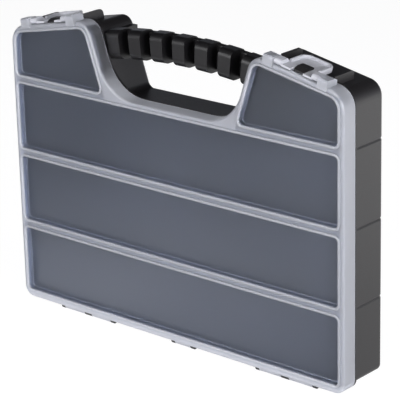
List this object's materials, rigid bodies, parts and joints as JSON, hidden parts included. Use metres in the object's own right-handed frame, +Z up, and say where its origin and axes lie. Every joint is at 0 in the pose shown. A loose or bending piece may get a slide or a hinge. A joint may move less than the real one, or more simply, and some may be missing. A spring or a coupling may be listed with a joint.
{
  "type": "compartment organizer box",
  "caption": "Upright compartment organizer box with a black tray, a milky see-through lid on moulded hinges, two shoulder latches and an arched, banded carrying handle.",
  "frame": {"origin": "middle of the footprint, at the level the hinge lugs and feet stand on", "axes": "+X along the width, towards the right latch as seen from the lid; +Y from the lid to the tray's rear; +Z up to the handle"},
  "size_m": [0.373, 0.0624, 0.289],
  "materials": {
    "tray_plastic": "fine moulded texture, black polypropylene",
    "lid_plastic": "polished milky clear polypropylene",
    "latch_plastic": "satin milky polypropylene",
    "handle_plastic": "satin moulded black polypropylene",
    "divider_plastic": "plain milky clear polypropylene"
  },
  "bodies": {
    "base": {"base_tray": "tray_plastic", "handle": "handle_plastic", "divider_upper_left": "divider_plastic", "divider_upper_middle": "divider_plastic", "divider_upper_right": "divider_plastic", "divider_lower_middle": "divider_plastic"},
    "lid": {"lid": "lid_plastic"},
    "latch_left": {"latch_left": "latch_plastic"},
    "latch_right": {"latch_right": "latch_plastic"}
  },
  "joints": [
    {"name": "lid_hinge", "type": "hinge", "parent": "base", "child": "lid", "pos_m": [0, -0.01625, 0.003], "axis": [1, 0, 0], "range_deg": [0, 180]},
    {"name": "latch_left_hinge", "type": "hinge", "parent": "lid", "child": "latch_left", "pos_m": [-0.13861, -0.02675, 0.27975], "axis": [0.9816, 0, 0.1908], "range_deg": [0, 105]},
    {"name": "latch_right_hinge", "type": "hinge", "parent": "lid", "child": "latch_right", "pos_m": [0.13861, -0.02675, 0.27975], "axis": [0.9816, 0, -0.1908], "range_deg": [0, 105]}
  ]
}
